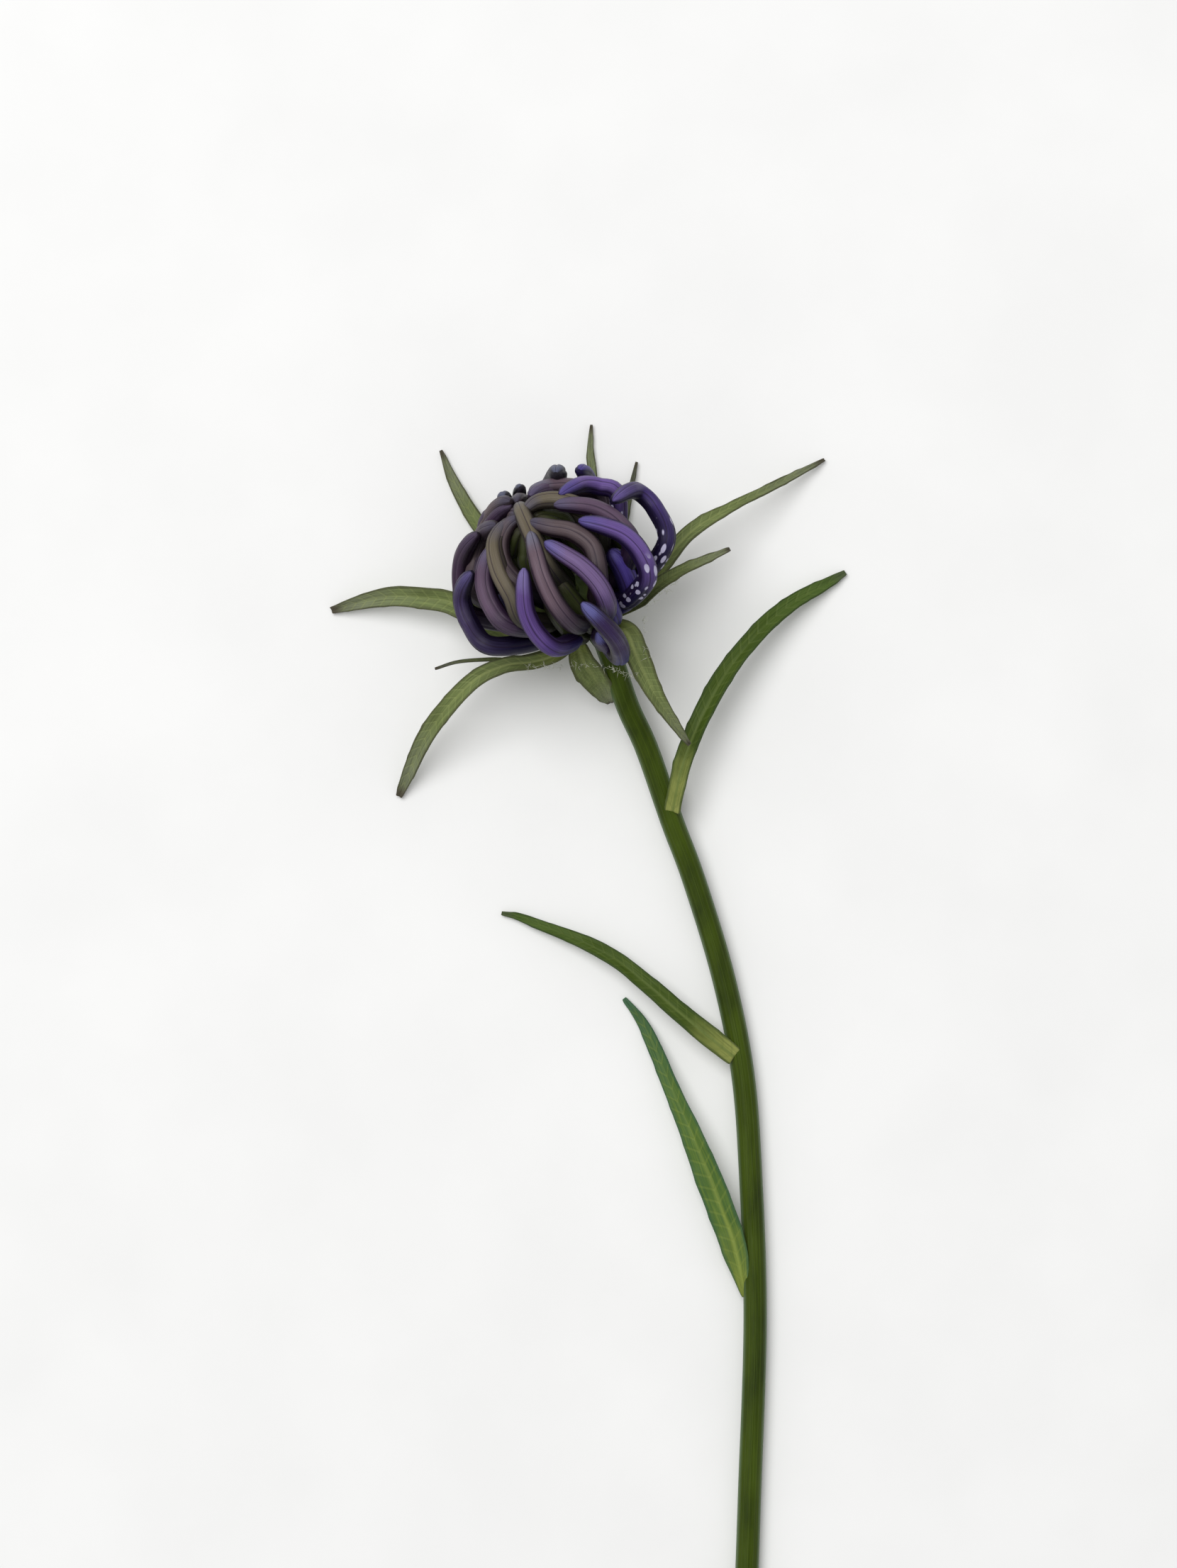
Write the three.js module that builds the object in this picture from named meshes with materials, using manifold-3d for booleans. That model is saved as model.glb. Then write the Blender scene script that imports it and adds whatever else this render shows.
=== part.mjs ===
// Round-headed rampion (Phyteuma orbiculare), one cut stem with its half-open head.
// Millimetres, +Z up. The flower lies on a flat surface at z = 0: the stem runs towards -Y,
// the head rises from its end and leans back over +Y, and the leaves reach down to the surface.
// The head has its own frame: local +Z is the head's axis, local -Y its front, and azimuths
// are counted in degrees from the front (0) towards the head's right side (90).

import * as THREE from 'three';
import { mergeVertices } from 'three/addons/utils/BufferGeometryUtils.js';
import Module from 'manifold-3d';

const wasm = await Module();
wasm.setup();

// ---------------------------------------------------------------- driving dimensions
const GAP = 0.3;                 // clearance kept between neighbouring pieces

const HEAD_BASE = new THREE.Vector3(0.1, 14.3, 7.0);   // middle of the receptacle's foot
const HEAD_TILT = 57;            // degrees between the head's axis and straight up
const HEAD_TURN = 34;            // degrees the leaning head is turned from +Y towards -X

const DOME_CENTRE = 5.0;         // height of the floret dome's centre above the head's foot
const DOME_RADIUS = 8.6;         // reach of the outer florets' middle line from the axis
const DOME_RISE = 7.6;           // rise of that line above the dome's centre
const INNER_RISE_LOSS = 0.35;    // share of a ring's shrinking that also lowers its rise

const FLORET_RADIUS = 0.76;      // stoutest part of a closed floret
const FLORET_GIRTH = [0.62, 0.7, 0.85, 1, 1, 0.95, 0.85, 0.6];   // share of it from foot to tip
const FLORET_STEPS = 8;
const FLORET_SIDES = 8;

const RECEPTACLE_RADIUS = 2.0;
const RECEPTACLE_HEIGHT = 4.4;
const RECEPTACLE_SIDES = 12;
const RECEPTACLE_SOLE = -0.7;    // depth of its flat underside below the head's foot
const RECEPTACLE_PROFILE = [     // shares of its radius and height, from the sole to the top
  [0, RECEPTACLE_SOLE], [0.7, RECEPTACLE_SOLE], [0.9, 0.05], [1, 0.3], [0.86, 0.62], [0.5, 0.9], [0, 1],
];

const STEM_RADIUS = 1.08;
const STEM_SIDES = 10;
const STEM_STEPS = 30;

const BLADE_SIDES = 6;
const BLADE_THICKNESS = 0.5;     // of a bract or leaf along its middle
const BLADE_FOLD = 0.22;         // how far a blade's edges rise, as a share of its half width

// ---------------------------------------------------------------- florets
// One row per floret: [azimuth of the foot, azimuth of the tip, sideways bow between them,
// ring size as a share of the dome, latitude of the lower bend, latitude of the tip].
const OUTER_FOOT = 1.3;          // heights of the three rings of feet on the receptacle
const MIDDLE_FOOT = 2.3;
const INNER_FOOT = 3.3;
const FOOT_SEAT = 0.9;           // distance of the feet from the axis, as a share of the receptacle
const KNEE_SAG = 0.6;            // how far a floret sags between its foot and its lower bend
const DOME_SHARES = [0.06, 0.3, 0.55, 0.78, 1];

const OUTER_FLORETS = {
  front_low: [0, -1, 4, 1.12, -56, 16],
  front: [-27, -25, -7, 1.02, -10, 48],
  front_right: [11, 2, 7, 0.94, -3, 56],
  right: [39, 39, 9, 1.02, -11, 51],
  right_hook: [60, 65, 27, 1.12, -8, 39],
  right_back: [92, 82, 17, 0.95, 20, 65],
  left: [-66, -82, -17, 1.05, -3, 46],
  left_back: [-106, -116, -10, 1.03, -3, 60],
  back_a: [140, 122, 2, 1.1, 5, 41],
  back_b: [170, 132, 0, 1.08, 5, 52],
  back_c: [185, 168, 0, 1.04, 2, 51],
  back_d: [-176, -176, 0, 1.05, 10, 54],
  back_e: [-150, -158, 0, 1.0, 0, 52],
  back_f: [-125, -130, 0, 1.0, 0, 40],
};

const MIDDLE_FLORETS = {
  mid_front: [-12, -7, -6, 0.91, -3, 68],
  mid_front_right: [16, 2, 23, 0.85, 12, 76],
  mid_left: [-53, -80, -8, 0.88, 7, 61],
  mid_left_front: [-45, -112, 22, 0.82, 8, 77],
  mid_left_back: [-100, -117, -24, 0.87, 12, 70],
  mid_right: [50, 60, 9, 0.91, 7, 68],
  mid_right_back: [114, 156, -1, 0.87, 15, 60],
  mid_back_a: [135, 150, 0, 0.82, 15, 68],
  mid_back_b: [170, 176, 0, 0.82, 15, 68],
  mid_back_c: [-152, -176, 6, 0.96, 17, 72],
  mid_back_d: [-108, -172, 0, 0.84, 15, 70],
};

const INNER_FLORETS = {
  inner_right: [60, 130, -12, 0.78, 30, 88],
  inner_front: [-8, -4, -2, 0.74, 34, 112],
  inner_left: [-40, -120, 0, 0.7, 30, 88],
  inner_back_a: [120, 140, 0, 0.6, 35, 84],
  inner_back_b: [-165, -170, 0, 0.6, 35, 84],
  inner_back_c: [-105, -130, 0, 0.64, 35, 78],
};

// The youngest florets stand nearly upright round the middle and fill the globe's inside.
const CORE_COUNT = 7;
const CORE_RING = 0.4;
const CORE_FOOT = 4.0;
const CORE_LAT_LOW = 35;
const CORE_LAT_TIP = 80;
const CORE_FLORETS = {};
for (let index = 0; index < CORE_COUNT; index += 1) {
  const azimuth = (360 / CORE_COUNT) * index;
  CORE_FLORETS[`core_${index + 1}`] = [azimuth, azimuth + 20, 0, CORE_RING, CORE_LAT_LOW, CORE_LAT_TIP];
}

// ---------------------------------------------------------------- bracts and leaves
// Blades are given in the flower's own frame, where their lie on the surface is plain to read:
// middle-line points [x, y, z] from the foot to the tip, half widths spread evenly along the
// line, and the direction that the upper face looks.
const BRACTS = {
  bract_right_long: {
    line: [[2.2, 15.1, 6.9], [3.8, 15.9, 6.9], [5.7, 17.8, 6.7], [8.6, 21.3, 5.9], [12, 23.5, 4.5],
      [15.1, 25.1, 3], [18.1, 26.7, 1.4], [20.3, 27.9, 0.35]],
    widths: [0.6, 0.8, 0.85, 0.75, 0.5, 0.42, 0.35, 0.15],
    up: [-0.3, 0.2, 1],
  },
  bract_right: {
    line: [[2.3, 14.5, 7.8], [4.2, 15.4, 8.3], [6, 16.9, 8.8], [7.7, 17.95, 9], [9.5, 18.8, 8.7],
      [12, 19.9, 7.9]],
    widths: [0.6, 0.7, 0.66, 0.55, 0.4, 0.18],
    up: [-0.3, 0.2, 1],
  },
  bract_front: {
    line: [[1.2, 13.2, 8.7], [3.1, 12.8, 9.5], [4.1, 10.6, 9.8], [5.4, 7.9, 9.2], [6.9, 5.6, 8], [8.6, 3.3, 6.4]],
    widths: [0.7, 1.2, 1.1, 0.8, 0.5, 0.18],
    up: [0.3, 0, 1],
  },
  bract_left_front: {
    line: [[-1.1, 12.4, 7.7], [-2.6, 11, 8], [-4.8, 10.3, 7.7], [-7.2, 10, 7.3], [-9.7, 8.8, 6.5],
      [-12.1, 6.4, 5.2], [-13.9, 4, 3.6], [-15.1, 1.6, 1.9], [-16.3, -1.1, 0.35]],
    widths: [0.6, 0.7, 0.75, 0.8, 0.85, 0.85, 0.8, 0.65, 0.3],
    up: [0, 0.2, 1],
  },
  bract_left_thin: {
    line: [[-1.6, 12.6, 6.6], [-3.8, 11.2, 6.4], [-6.6, 10.6, 6], [-8.4, 10.6, 5.7], [-11.1, 10.4, 5.4],
      [-13.1, 9.8, 5]],
    widths: [0.3, 0.25, 0.2, 0.18, 0.16, 0.12],
    up: [0, 0.2, 1],
  },
  bract_left: {
    line: [[-1.7, 13.6, 5.6], [-4, 12.6, 4.6], [-6.2, 12.4, 3.8], [-8.5, 13.6, 3.4], [-11.4, 15.4, 3.1],
      [-13.8, 15.9, 2.9], [-16.9, 16.1, 2.2], [-20, 15.5, 1.2], [-22.1, 14.9, 0.35]],
    widths: [0.6, 0.9, 1.05, 1.1, 1.1, 1.05, 0.95, 0.7, 0.3],
    up: [0, -0.2, 1],
  },
  bract_back_left: {
    line: [[-0.9, 14.7, 4.8], [-3.8, 16.4, 1.9], [-6.5, 19, 0.75], [-9.1, 21.9, 0.55], [-10.4, 23.8, 0.45],
      [-11.6, 26, 0.4], [-12.7, 28.7, 0.35]],
    widths: [0.6, 0.85, 0.9, 0.9, 0.75, 0.55, 0.15],
    up: [0, 0, 1],
  },
  bract_back: {
    line: [[0.3, 15.4, 4.9], [0, 18.8, 1.9], [0.1, 22.5, 0.75], [0.3, 26.5, 0.45], [0.15, 28.6, 0.4],
      [0.25, 30.9, 0.35]],
    widths: [0.5, 0.6, 0.55, 0.5, 0.4, 0.12],
    up: [0, 0, 1],
  },
  bract_back_right: {
    line: [[1.3, 15.7, 5.4], [1.9, 18.6, 2.5], [2.8, 21.5, 1.2], [3.3, 23.6, 0.8], [3.7, 25.7, 0.55],
      [4.15, 27.7, 0.4]],
    widths: [0.4, 0.45, 0.4, 0.32, 0.26, 0.12],
    up: [0, 0, 1],
  },
  bract_under: {
    line: [[-0.9, 11.9, 6], [-0.4, 10.4, 5.4], [0.5, 9.1, 4.6], [1.3, 7.9, 3.6], [1.9, 6.9, 2.6]],
    widths: [0.8, 0.95, 0.85, 0.6, 0.2],
    up: [-0.3, 0, 1],
  },
};

const LEAVES = {
  leaf_upper: {
    line: [[7.2, -2.4, 2.9], [7.55, -0.6, 3.5], [8.05, 1.6, 3.8], [9, 4.2, 4], [10.6, 7.5, 3.9], [12.5, 10.5, 3.5],
      [15.2, 13.6, 2.6], [17.8, 15.7, 1.6], [20.3, 17.1, 0.7], [22.1, 18.2, 0.35]],
    widths: [0.45, 0.8, 0.9, 0.95, 0.95, 0.9, 0.85, 0.8, 0.65, 0.25],
    up: [-0.3, 0.1, 1],
  },
  leaf_middle: {
    line: [[12.5, -23.4, 2], [10.6, -21.9, 2.2], [7.8, -19.6, 2.3], [5.4, -17.5, 2.1], [2.4, -15.1, 1.8],
      [-0.6, -13.5, 1.3], [-3.7, -12.3, 0.8], [-6.1, -11.4, 0.5], [-7.5, -11.1, 0.35]],
    widths: [0.7, 0.85, 0.85, 0.85, 0.8, 0.75, 0.6, 0.45, 0.18],
    up: [0.1, 0.2, 1],
  },
  leaf_lower: {
    line: [[13.5, -44, 1.2], [12.6, -39.8, 1.5], [11.6, -36.8, 1.8], [10.4, -33.7, 2], [8.9, -30, 2.2],
      [7.3, -26.4, 1.7], [6, -23.3, 1.1], [4.7, -20.6, 0.6], [3.05, -18.4, 0.35]],
    widths: [0.8, 1.3, 1.4, 1.35, 1.15, 0.85, 0.75, 0.6, 0.2],
    up: [-0.3, 0, 1],
  },
};

// ---------------------------------------------------------------- stem
// Middle line from just under the receptacle to the clean cut, in millimetres.
const STEM_LINE = [
  [1.2, 12.7, 6], [2.2, 10, 4.6], [3.4, 6.5, 3.3], [5, 3, 2.5], [7.2, -3.3, 1.85], [9, -8.1, 1.5],
  [11.5, -16.3, 1.2], [13.2, -24.6, 1.1], [13.9, -33.4, 1.08], [14.3, -46, 1.08], [13.8, -61.4, 1.08],
  [13.4, -73, 1.08],
];
const STEM_TOP_SWELL = 0.15;     // extra radius where the stem meets the head
const STEM_SWELL_FADE = 12;      // how fast it fades down the stem

// ---------------------------------------------------------------- colours
const FINISH = {
  outer: { color: 0x4a3a7c, roughness: 0.45, metalness: 0 },
  middle: { color: 0x5d4a63, roughness: 0.5, metalness: 0 },
  inner: { color: 0x6d664f, roughness: 0.55, metalness: 0 },
  core: { color: 0x5f6238, roughness: 0.6, metalness: 0 },
  receptacle: { color: 0x4c5a2a, roughness: 0.7, metalness: 0 },
  bract: { color: 0x6f8a3a, roughness: 0.6, metalness: 0 },
  leaf: { color: 0x557a2c, roughness: 0.6, metalness: 0 },
  stem: { color: 0x3f5d14, roughness: 0.5, metalness: 0 },
};

// ---------------------------------------------------------------- helpers
const radians = THREE.MathUtils.degToRad;

/** A point of the head's frame from azimuth (degrees), distance from the axis and height. */
function headPoint([azimuth, radius, height]) {
  const angle = radians(azimuth);
  return new THREE.Vector3(radius * Math.sin(angle), -radius * Math.cos(angle), height);
}

/** A value read off a list of evenly spaced samples at t in 0..1. */
function sample(list, t) {
  const place = Math.min(t, 1) * (list.length - 1);
  const low = Math.min(Math.floor(place), list.length - 2);
  return THREE.MathUtils.lerp(list[low], list[low + 1], place - low);
}

/**
 * A lathe-turned spindle of unit length, bent along a curve.
 * shape(t) gives the half width and half thickness at t, and up the direction of the thickness.
 */
function bentSpindle(curve, { steps, sides, shape, up, fold = 0 }) {
  const profile = [new THREE.Vector2(0, 0)];
  for (let step = 0; step <= steps; step += 1) {
    profile.push(new THREE.Vector2(1, step / steps));
  }
  profile.push(new THREE.Vector2(0, 1));
  const geometry = new THREE.LatheGeometry(profile, sides);
  const vertices = geometry.attributes.position;
  for (let index = 0; index < vertices.count; index += 1) {
    const t = vertices.getY(index);
    const across = vertices.getX(index);
    const through = vertices.getZ(index);
    const tangent = curve.getTangentAt(t);
    const side = new THREE.Vector3().crossVectors(tangent, up).normalize();
    const normal = new THREE.Vector3().crossVectors(side, tangent).normalize();
    const [halfWidth, halfThickness] = shape(t);
    const point = curve.getPointAt(t);
    point.addScaledVector(side, across * halfWidth);
    point.addScaledVector(normal, through * halfThickness + fold * Math.abs(across) * halfWidth);
    vertices.setXYZ(index, point.x, point.y, point.z);
  }
  geometry.deleteAttribute('normal');
  geometry.deleteAttribute('uv');
  return mergeVertices(geometry, 1e-5);
}

function solidFrom(geometry) {
  const mesh = new wasm.Mesh({
    numProp: 3,
    vertProperties: Float32Array.from(geometry.attributes.position.array),
    triVerts: Uint32Array.from(geometry.index.array),
  });
  return new wasm.Manifold(mesh);
}

function geometryFrom(solid) {
  const mesh = solid.getMesh();
  const geometry = new THREE.BufferGeometry();
  geometry.setAttribute('position', new THREE.BufferAttribute(mesh.vertProperties, 3));
  geometry.setIndex(new THREE.BufferAttribute(mesh.triVerts, 1));
  return geometry;
}

/** The piece with the room of its neighbours cut away; only its largest remaining body stays. */
function carve(geometry, rooms) {
  const box = new THREE.Box3().setFromBufferAttribute(geometry.attributes.position);
  let solid = solidFrom(geometry);
  for (const room of rooms) {
    if (box.intersectsBox(new THREE.Box3().setFromBufferAttribute(room.attributes.position))) {
      solid = solid.subtract(solidFrom(room));
    }
  }
  const bodies = solid.decompose();
  bodies.sort((first, second) => second.volume() - first.volume());
  return geometryFrom(bodies[0]);
}

function namedMesh(name, geometry, finish) {
  const mesh = new THREE.Mesh(geometry, new THREE.MeshStandardMaterial(finish));
  mesh.name = name;
  return mesh;
}

// ---------------------------------------------------------------- pieces
/** Middle line of a floret: out from the receptacle, round the lower bend and up the dome. */
function floretCurve([azFoot, azTip, bow, ring, latLow, latTip], footHeight) {
  const rise = DOME_RISE * (1 - (1 - ring) * INNER_RISE_LOSS);
  const onDome = (share) => {
    const latitude = radians(THREE.MathUtils.lerp(latLow, latTip, share));
    const azimuth = THREE.MathUtils.lerp(azFoot, azTip, share) + bow * Math.sin(Math.PI * share);
    return [azimuth, DOME_RADIUS * ring * Math.cos(latitude), DOME_CENTRE + rise * Math.sin(latitude)];
  };
  const [, kneeRadius, kneeHeight] = onDome(0);
  const footRadius = RECEPTACLE_RADIUS * FOOT_SEAT + GAP;
  const points = [
    [azFoot, footRadius, footHeight],
    [azFoot, (footRadius + kneeRadius) / 2, (footHeight + kneeHeight) / 2 - KNEE_SAG],
  ];
  for (const share of DOME_SHARES) {
    points.push(onDome(share));
  }
  return new THREE.CatmullRomCurve3(points.map(headPoint), false, 'catmullrom', 0.5);
}

function floret(row, footHeight, extra) {
  const curve = floretCurve(row, footHeight);
  const radiusAt = (t) => FLORET_RADIUS * sample(FLORET_GIRTH, t) + extra;
  const acrossHead = headPoint([(row[0] + row[1]) / 2 + 90, 1, 0]);
  return bentSpindle(curve, {
    steps: FLORET_STEPS,
    sides: FLORET_SIDES,
    shape: (t) => [radiusAt(t), radiusAt(t)],
    up: acrossHead,
  });
}

/** A leaf or bract; toFrame turns it from the flower's frame into that of its group. */
function blade({ line, widths, up }, toFrame, extra) {
  const points = line.map((point) => new THREE.Vector3(...point).applyMatrix4(toFrame));
  const curve = new THREE.CatmullRomCurve3(points, false, 'catmullrom', 0.5);
  return bentSpindle(curve, {
    steps: line.length + 3,
    sides: BLADE_SIDES,
    shape: (t) => [sample(widths, t) + extra, BLADE_THICKNESS / 2 + extra],
    up: new THREE.Vector3(...up).transformDirection(toFrame),
    fold: BLADE_FOLD,
  });
}

function receptacle(extra) {
  const profile = RECEPTACLE_PROFILE.map(([radius, height]) => new THREE.Vector2(
    radius > 0 ? radius * RECEPTACLE_RADIUS + extra : 0,
    height > 0 ? height * RECEPTACLE_HEIGHT + extra * height : height - extra,
  ));
  const geometry = new THREE.LatheGeometry(profile, RECEPTACLE_SIDES);
  geometry.rotateX(Math.PI / 2);
  geometry.deleteAttribute('normal');
  geometry.deleteAttribute('uv');
  return mergeVertices(geometry, 1e-5);
}

function stem(extra) {
  const curve = new THREE.CatmullRomCurve3(
    STEM_LINE.map((point) => new THREE.Vector3(...point)), false, 'catmullrom', 0.5,
  );
  const radiusAt = (t) => STEM_RADIUS + STEM_TOP_SWELL * Math.max(0, 1 - t * STEM_SWELL_FADE) + extra;
  return bentSpindle(curve, {
    steps: STEM_STEPS,
    sides: STEM_SIDES,
    shape: (t) => [radiusAt(t), radiusAt(t)],
    up: new THREE.Vector3(0, 0, 1),
  });
}

// ---------------------------------------------------------------- assembly
const flower = new THREE.Group();

const head = new THREE.Group();
head.position.copy(HEAD_BASE);
head.rotation.set(-radians(HEAD_TILT), 0, radians(HEAD_TURN), 'ZXY');
head.updateMatrix();
flower.add(head);

const toHead = head.matrix.clone().invert();
const stemInHead = stem(GAP).applyMatrix4(toHead);

flower.add(namedMesh('stem', stem(0), FINISH.stem));
head.add(namedMesh('receptacle', carve(receptacle(0), [stemInHead]), FINISH.receptacle));

const headRooms = [stemInHead, receptacle(GAP)];
const rings = [
  [OUTER_FLORETS, OUTER_FOOT, FINISH.outer],
  [MIDDLE_FLORETS, MIDDLE_FOOT, FINISH.middle],
  [INNER_FLORETS, INNER_FOOT, FINISH.inner],
  [CORE_FLORETS, CORE_FOOT, FINISH.core],
];
for (const [rows, footHeight, finish] of rings) {
  for (const [name, row] of Object.entries(rows)) {
    head.add(namedMesh(`floret_${name}`, carve(floret(row, footHeight, 0), headRooms), finish));
    headRooms.push(floret(row, footHeight, GAP));
  }
}

for (const [name, bract] of Object.entries(BRACTS)) {
  head.add(namedMesh(name, carve(blade(bract, toHead, 0), headRooms), FINISH.bract));
  headRooms.push(blade(bract, toHead, GAP));
}

const toFlower = new THREE.Matrix4();
const leafRooms = [stem(GAP)];
for (const [name, leaf] of Object.entries(LEAVES)) {
  flower.add(namedMesh(name, carve(blade(leaf, toFlower, 0), leafRooms), FINISH.leaf));
}

// The origin is the middle of the underside of the whole flower's box.
const box = new THREE.Box3().setFromObject(flower, true);
const middle = box.getCenter(new THREE.Vector3());
flower.position.set(-middle.x, -middle.y, -box.min.z);

export default flower;
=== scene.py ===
"""A round-headed rampion lying on a pale table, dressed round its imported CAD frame.

Shapes are modelled in millimetres in the flower's own frame: +X across, +Y from the cut end of the stem to
the head, +Z up from the table. A finished piece is brought into the row frame in metres.
"""

import logging
import math
import random
from collections.abc import Callable, Sequence
from dataclasses import dataclass, field
from enum import Enum

import bmesh
import bpy
import numpy as np
from bpy.types import Object
from mathutils import Matrix, Vector


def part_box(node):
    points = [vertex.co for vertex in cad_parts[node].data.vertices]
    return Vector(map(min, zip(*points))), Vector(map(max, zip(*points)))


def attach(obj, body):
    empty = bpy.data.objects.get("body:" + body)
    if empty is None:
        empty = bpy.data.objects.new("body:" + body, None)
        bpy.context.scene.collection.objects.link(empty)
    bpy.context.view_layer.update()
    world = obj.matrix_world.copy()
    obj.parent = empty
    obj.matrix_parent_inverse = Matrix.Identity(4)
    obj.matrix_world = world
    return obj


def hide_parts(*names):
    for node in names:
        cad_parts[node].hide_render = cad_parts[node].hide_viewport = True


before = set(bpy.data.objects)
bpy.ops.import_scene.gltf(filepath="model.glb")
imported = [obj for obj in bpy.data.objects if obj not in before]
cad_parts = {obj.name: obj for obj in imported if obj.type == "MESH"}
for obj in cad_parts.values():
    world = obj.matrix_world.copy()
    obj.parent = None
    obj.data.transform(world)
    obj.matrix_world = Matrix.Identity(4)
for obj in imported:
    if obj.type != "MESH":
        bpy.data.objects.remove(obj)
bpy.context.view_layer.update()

Point = tuple[float, float, float]
Stops = Sequence[tuple[float, str]]

log = logging.getLogger("rampion")
MM = 0.001
BODY = "root"

# The stem's own reach in the flower's frame: its east side, its cut end and its underside.
STEM_REACH = Vector((15.324, -73.035, -0.002))

# Place and tilt of the flower head on its stem.
HEAD_BASE = Vector((0.1, 14.3, 7.0))
HEAD_TILT = math.radians(57)
HEAD_TURN = math.radians(34)
DOME_CENTRE = 5.0
DOME_RADIUS = 8.6
DOME_RISE = 7.6
INNER_RISE_LOSS = 0.35
FLORET_FOOT_RADIUS = 2.1
KNEE_SAG = 0.6
SHARES_ON_DOME = (0.06, 0.3, 0.55, 0.78, 1.0)
PATH_POINTS = 72


# ---------------------------------------------------------------- bench
def flower_origin() -> Vector:
    """Finds where the flower's own zero lies in the row frame.

    Returns:
        The place in millimetres, worked out from the box of the CAD stem.
    """
    low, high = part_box("stem")
    corner = Vector((high.x, low.y, low.z)) / MM
    return corner - STEM_REACH


ORIGIN = flower_origin()


def deselect_all() -> None:
    """Leaves object mode with nothing selected."""
    if bpy.context.object and bpy.context.object.mode != "OBJECT":
        bpy.ops.object.mode_set(mode="OBJECT")
    bpy.ops.object.select_all(action="DESELECT")


def take(piece: Object) -> None:
    """Selects one piece alone and makes it active.

    Args:
        piece: The object to work on.
    """
    deselect_all()
    piece.select_set(True)
    bpy.context.view_layer.objects.active = piece


def added(name: str) -> Object:
    """Names the primitive that was just added and turns its rotation into its mesh.

    Args:
        name: The piece's name.

    Returns:
        The new object.
    """
    piece = bpy.context.object
    piece.name = name
    piece.data.name = name
    bpy.ops.object.transform_apply(location=True, rotation=True, scale=True)
    return piece


def open_mesh(piece: Object) -> None:
    """Starts editing a piece by its vertices, with none selected."""
    take(piece)
    bpy.ops.object.mode_set(mode="EDIT")
    bpy.ops.mesh.select_mode(type="VERT")
    bpy.ops.mesh.select_all(action="DESELECT")


def pick(piece: Object, test: Callable[[Vector], bool]) -> int:
    """Selects the vertices whose place passes a test, in edit mode.

    Args:
        piece: The object in edit mode.
        test: Says whether a place is wanted.

    Returns:
        How many vertices are now selected.
    """
    mesh = bmesh.from_edit_mesh(piece.data)
    count = 0
    for vert in mesh.verts:
        wanted = test(vert.co)
        vert.select = wanted
        count += wanted
    mesh.select_flush_mode()
    bmesh.update_edit_mesh(piece.data)
    return count


def pick_faces(piece: Object, test: Callable[[Vector, Vector], bool]) -> Vector:
    """Selects the faces whose middle and normal pass a test, in edit mode.

    Args:
        piece: The object in edit mode.
        test: Says whether a face with this middle and normal is wanted.

    Returns:
        The middle of the faces that were picked.
    """
    mesh = bmesh.from_edit_mesh(piece.data)
    for part in (mesh.verts, mesh.edges, mesh.faces):
        for item in part:
            item.select = False
    middles = []
    for face in mesh.faces:
        centre = face.calc_center_median()
        if test(centre, face.normal):
            face.select_set(True)
            middles.append(centre)
    bmesh.update_edit_mesh(piece.data)
    return sum(middles, Vector()) / max(1, len(middles))


def scale_picked(scale: Point, about: Sequence[float]) -> None:
    """Resizes what is picked about a point."""
    bpy.ops.transform.resize(value=scale, center_override=tuple(about))


def move_picked(step: Sequence[float]) -> None:
    """Moves what is picked."""
    bpy.ops.transform.translate(value=tuple(step))


def close_mesh(piece: Object) -> None:
    """Points the faces outwards and leaves edit mode."""
    bpy.ops.mesh.select_all(action="SELECT")
    bpy.ops.mesh.normals_make_consistent(inside=False)
    bpy.ops.object.mode_set(mode="OBJECT")


def copy_of(piece: Object, name: str) -> Object:
    """Copies a piece with its own mesh.

    Args:
        piece: The model to copy.
        name: The copy's name.

    Returns:
        The copy, selected and active.
    """
    take(piece)
    bpy.ops.object.duplicate(linked=False)
    twin = bpy.context.object
    twin.name = name
    twin.data.name = name
    return twin


def apply_modifier(piece: Object, kind: str, **settings: object) -> None:
    """Adds one modifier to a piece and applies it.

    Args:
        piece: The object to change.
        kind: Blender's name for the modifier.
        settings: The modifier's own settings.
    """
    take(piece)
    modifier = piece.modifiers.new(kind.lower(), kind)
    for key, value in settings.items():
        setattr(modifier, key, value)
    bpy.ops.object.modifier_apply(modifier=modifier.name)


def between(values: Sequence[float], share: float) -> float:
    """Reads a row of evenly spaced values at a share of its length.

    Args:
        values: The values from start to end.
        share: How far along, from 0 to 1.

    Returns:
        The value there.
    """
    place = min(max(share, 0.0), 1.0) * (len(values) - 1)
    index = min(int(place), len(values) - 2)
    return values[index] + (values[index + 1] - values[index]) * (place - index)


def profile_at(profile: Sequence[tuple[float, float]], share: float) -> float:
    """Reads a profile of (share, value) pairs.

    Args:
        profile: The pairs in order of share.
        share: Where to read it.

    Returns:
        The value there.
    """
    shares, values = zip(*profile)
    return float(np.interp(share, shares, values))


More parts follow.
